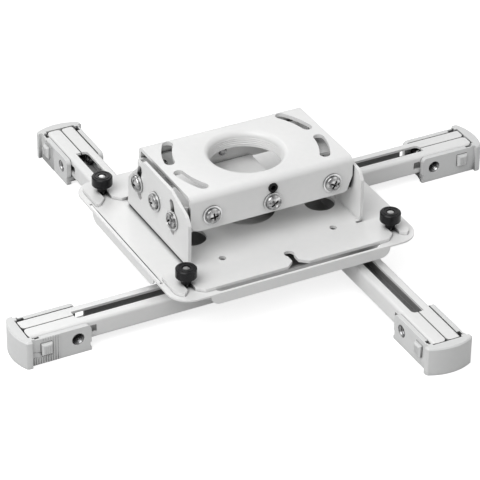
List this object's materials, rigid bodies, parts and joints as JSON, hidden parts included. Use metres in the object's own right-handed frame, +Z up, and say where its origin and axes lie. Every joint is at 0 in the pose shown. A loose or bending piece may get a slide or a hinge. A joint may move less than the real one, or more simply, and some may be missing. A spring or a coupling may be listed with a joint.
{
  "type": "projector ceiling mount",
  "caption": "Steel ceiling mount with threaded pipe collar, tilt and roll brackets, quick-release plate on thumb knobs, and slotted legs with moulded end caps.",
  "frame": {"origin": "centre of the pipe collar on the ceiling face of the bracket", "axes": "+X right along the front edge, +Y to the back, +Z up towards the ceiling"},
  "size_m": [0.3588, 0.3315, 0.0745],
  "materials": {
    "white_coat": "fine white powder coat",
    "cap_plastic": "fine moulded texture",
    "knob_black": "satin moulded",
    "bright_zinc": "bright zinc plating",
    "black_oxide": "black oxide",
    "brass_bush": "turned"
  },
  "bodies": {
    "ceiling": {"ceiling_bracket": "white_coat", "pipe_set_screw": "black_oxide"},
    "roll": {"roll_bracket": "white_coat", "roll_pivot_screws": "bright_zinc", "roll_lock_screws": "bright_zinc", "roll_washers": "bright_zinc", "tilt_pivot_screws": "bright_zinc", "tilt_lock_screws": "bright_zinc", "tilt_washers": "bright_zinc"},
    "tilt": {"tilt_tray": "white_coat", "interface_plate": "white_coat", "lock_studs": "bright_zinc", "hub_pan": "white_coat"},
    "knob_bush_fl": {"knob_insert_fl": "brass_bush"},
    "knob_fl": {"knob_fl": "knob_black"},
    "knob_bush_fr": {"knob_insert_fr": "brass_bush"},
    "knob_fr": {"knob_fr": "knob_black"},
    "knob_bush_bl": {"knob_insert_bl": "brass_bush"},
    "knob_bl": {"knob_bl": "knob_black"},
    "knob_bush_br": {"knob_insert_br": "brass_bush"},
    "knob_br": {"knob_br": "knob_black"},
    "clamp_fl": {"clamp_bolt_fl": "bright_zinc", "clamp_nut_fl": "bright_zinc"},
    "leg_fl": {"leg_fl": "white_coat", "end_cap_fl": "cap_plastic", "cap_inserts_fl": "bright_zinc"},
    "button_fl_a": {"latch_button_fl_a": "cap_plastic"},
    "button_fl_b": {"latch_button_fl_b": "cap_plastic"},
    "clamp_fr": {"clamp_bolt_fr": "bright_zinc", "clamp_nut_fr": "bright_zinc"},
    "leg_fr": {"leg_fr": "white_coat", "end_cap_fr": "cap_plastic", "cap_inserts_fr": "bright_zinc"},
    "button_fr_a": {"latch_button_fr_a": "cap_plastic"},
    "button_fr_b": {"latch_button_fr_b": "cap_plastic"},
    "clamp_bl": {"clamp_bolt_bl": "bright_zinc", "clamp_nut_bl": "bright_zinc"},
    "leg_bl": {"leg_bl": "white_coat", "end_cap_bl": "cap_plastic", "cap_inserts_bl": "bright_zinc"},
    "button_bl_a": {"latch_button_bl_a": "cap_plastic"},
    "button_bl_b": {"latch_button_bl_b": "cap_plastic"},
    "clamp_br": {"clamp_bolt_br": "bright_zinc", "clamp_nut_br": "bright_zinc"},
    "leg_br": {"leg_br": "white_coat", "end_cap_br": "cap_plastic", "cap_inserts_br": "bright_zinc"},
    "button_br_a": {"latch_button_br_a": "cap_plastic"},
    "button_br_b": {"latch_button_br_b": "cap_plastic"}
  },
  "joints": [
    {"name": "roll", "type": "hinge", "parent": "ceiling", "child": "roll", "pos_m": [0, 0, -0.0161], "axis": [0, 1, 0], "range_deg": [-3, 3]},
    {"name": "tilt", "type": "hinge", "parent": "roll", "child": "tilt", "pos_m": [0, 0, -0.0187], "axis": [1, 0, 0], "range_deg": [-20, 20]},
    {"name": "knob_fl_lift", "type": "slide", "parent": "tilt", "child": "knob_bush_fl", "axis": [0, 0, 1], "range_m": [0, 0.0014]},
    {"name": "knob_fl_turn", "type": "hinge", "parent": "knob_bush_fl", "child": "knob_fl", "pos_m": [-0.0687, -0.057, -0.033], "axis": [0, 0, 1], "range_deg": [0, 720.5]},
    {"name": "knob_fr_lift", "type": "slide", "parent": "tilt", "child": "knob_bush_fr", "axis": [0, 0, 1], "range_m": [0, 0.0014]},
    {"name": "knob_fr_turn", "type": "hinge", "parent": "knob_bush_fr", "child": "knob_fr", "pos_m": [0.0687, -0.057, -0.033], "axis": [0, 0, 1], "range_deg": [0, 720.5]},
    {"name": "knob_bl_lift", "type": "slide", "parent": "tilt", "child": "knob_bush_bl", "axis": [0, 0, 1], "range_m": [0, 0.0014]},
    {"name": "knob_bl_turn", "type": "hinge", "parent": "knob_bush_bl", "child": "knob_bl", "pos_m": [-0.0687, 0.057, -0.033], "axis": [0, 0, 1], "range_deg": [0, 720.5]},
    {"name": "knob_br_lift", "type": "slide", "parent": "tilt", "child": "knob_bush_br", "axis": [0, 0, 1], "range_m": [0, 0.0014]},
    {"name": "knob_br_turn", "type": "hinge", "parent": "knob_bush_br", "child": "knob_br", "pos_m": [0.0687, 0.057, -0.033], "axis": [0, 0, 1], "range_deg": [0, 720.5]},
    {"name": "leg_fl_swivel", "type": "hinge", "parent": "tilt", "child": "clamp_fl", "pos_m": [-0.05, -0.0368, -0.058], "axis": [0, 0, 1], "range_deg": [-10, 10]},
    {"name": "leg_fl_slide", "type": "slide", "parent": "clamp_fl", "child": "leg_fl", "axis": [-1, 0, 0], "range_m": [-0.025, 0.02]},
    {"name": "button_fl_a_push", "type": "slide", "parent": "leg_fl", "child": "button_fl_a", "axis": [0, 1, 0], "range_m": [0, 0.0012], "stiffness_N_per_m": 400, "springref_m": -0.001},
    {"name": "button_fl_b_push", "type": "slide", "parent": "leg_fl", "child": "button_fl_b", "axis": [0, -1, 0], "range_m": [0, 0.0012], "stiffness_N_per_m": 400, "springref_m": -0.001},
    {"name": "leg_fr_swivel", "type": "hinge", "parent": "tilt", "child": "clamp_fr", "pos_m": [0.05, -0.04, -0.058], "axis": [0, 0, 1], "range_deg": [-10, 10]},
    {"name": "leg_fr_slide", "type": "slide", "parent": "clamp_fr", "child": "leg_fr", "axis": [0, -1, 0], "range_m": [-0.02, 0.02]},
    {"name": "button_fr_a_push", "type": "slide", "parent": "leg_fr", "child": "button_fr_a", "axis": [-1, 0, 0], "range_m": [0, 0.0012], "stiffness_N_per_m": 400, "springref_m": -0.001},
    {"name": "button_fr_b_push", "type": "slide", "parent": "leg_fr", "child": "button_fr_b", "axis": [1, 0, 0], "range_m": [0, 0.0012], "stiffness_N_per_m": 400, "springref_m": -0.001},
    {"name": "leg_bl_swivel", "type": "hinge", "parent": "tilt", "child": "clamp_bl", "pos_m": [-0.05, 0.04, -0.058], "axis": [0, 0, 1], "range_deg": [-10, 10]},
    {"name": "leg_bl_slide", "type": "slide", "parent": "clamp_bl", "child": "leg_bl", "axis": [0, 1, 0], "range_m": [-0.02, 0.016]},
    {"name": "button_bl_a_push", "type": "slide", "parent": "leg_bl", "child": "button_bl_a", "axis": [1, 0, 0], "range_m": [0, 0.0012], "stiffness_N_per_m": 400, "springref_m": -0.001},
    {"name": "button_bl_b_push", "type": "slide", "parent": "leg_bl", "child": "button_bl_b", "axis": [-1, 0, 0], "range_m": [0, 0.0012], "stiffness_N_per_m": 400, "springref_m": -0.001},
    {"name": "leg_br_swivel", "type": "hinge", "parent": "tilt", "child": "clamp_br", "pos_m": [0.05, 0.0368, -0.058], "axis": [0, 0, 1], "range_deg": [-10, 10]},
    {"name": "leg_br_slide", "type": "slide", "parent": "clamp_br", "child": "leg_br", "axis": [1, 0, 0], "range_m": [-0.035, 0.007]},
    {"name": "button_br_a_push", "type": "slide", "parent": "leg_br", "child": "button_br_a", "axis": [0, -1, 0], "range_m": [0, 0.0012], "stiffness_N_per_m": 400, "springref_m": -0.001},
    {"name": "button_br_b_push", "type": "slide", "parent": "leg_br", "child": "button_br_b", "axis": [0, 1, 0], "range_m": [0, 0.0012], "stiffness_N_per_m": 400, "springref_m": -0.001}
  ],
  "couplings": [
    {"joint": "knob_fl_turn", "follows": "knob_fl_lift", "rad_per_m": 8976},
    {"joint": "knob_fr_turn", "follows": "knob_fr_lift", "rad_per_m": 8976},
    {"joint": "knob_bl_turn", "follows": "knob_bl_lift", "rad_per_m": 8976},
    {"joint": "knob_br_turn", "follows": "knob_br_lift", "rad_per_m": 8976}
  ]
}
